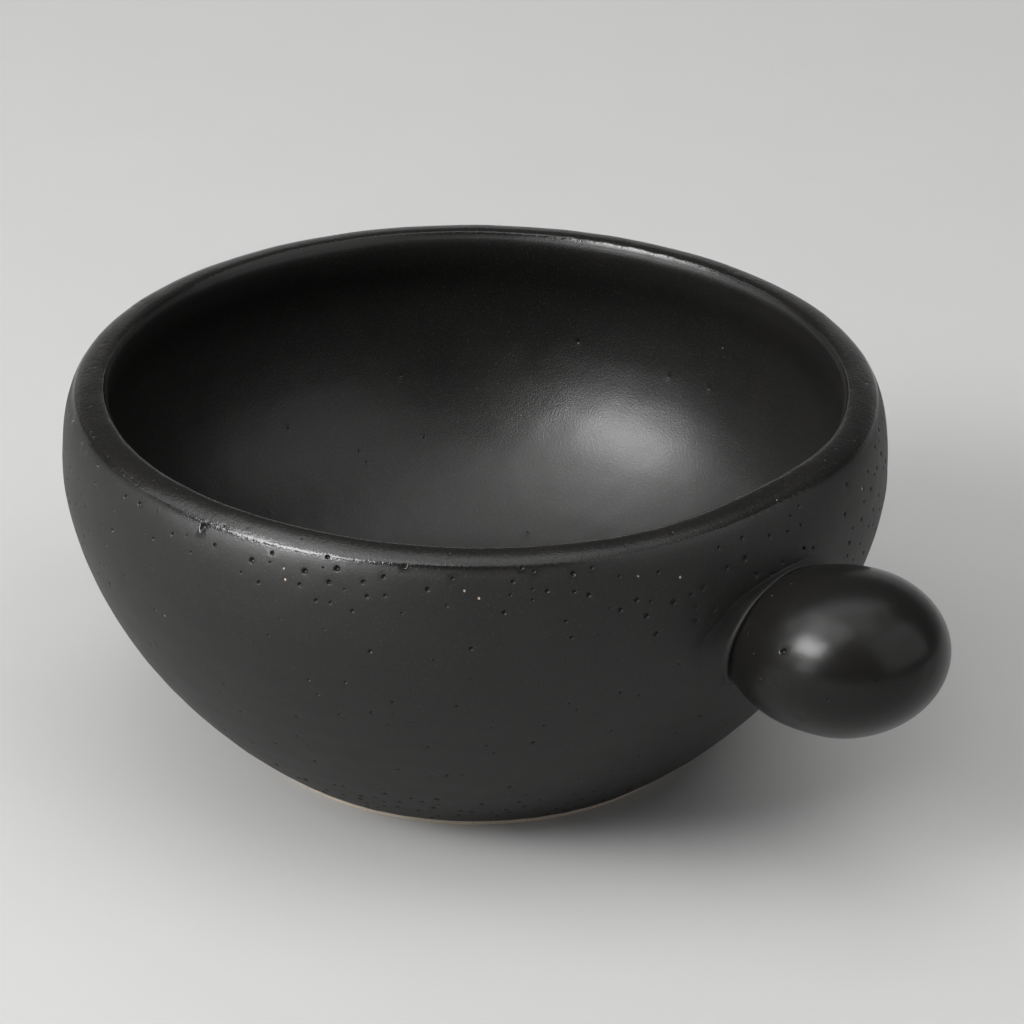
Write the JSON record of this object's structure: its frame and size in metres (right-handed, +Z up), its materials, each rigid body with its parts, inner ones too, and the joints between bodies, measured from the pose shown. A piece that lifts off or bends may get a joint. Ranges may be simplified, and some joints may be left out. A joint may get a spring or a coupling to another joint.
{
  "type": "handled bowl",
  "caption": "Round incurved stoneware bowl on a low foot ring, with an egg-shaped hollow stub handle luted to its side, coated in satin black glaze down to a bare clay foot edge.",
  "frame": {"origin": "on the plane the bowl stands on, under the middle of its whole footprint with the handle included; the bowl's own axis is 15.8 mm from it toward -X", "axes": "+Z up out of the mouth, +X from the bowl toward the handle's free end, +Y completes the right-handed frame"},
  "size_m": [0.1816, 0.15, 0.0697],
  "materials": {
    "bare_clay": "bare buff stoneware, dry and slightly gritty",
    "black_glaze": "satin matt black glaze with pinholes"
  },
  "bodies": {
    "root": {"bowl_body": "bare_clay", "foot_ring": "bare_clay", "handle_shell": "bare_clay", "luting_slip": "black_glaze", "inside_glaze": "black_glaze", "outside_glaze": "black_glaze", "handle_glaze": "black_glaze", "base_glaze": "black_glaze"}
  },
  "joints": []
}
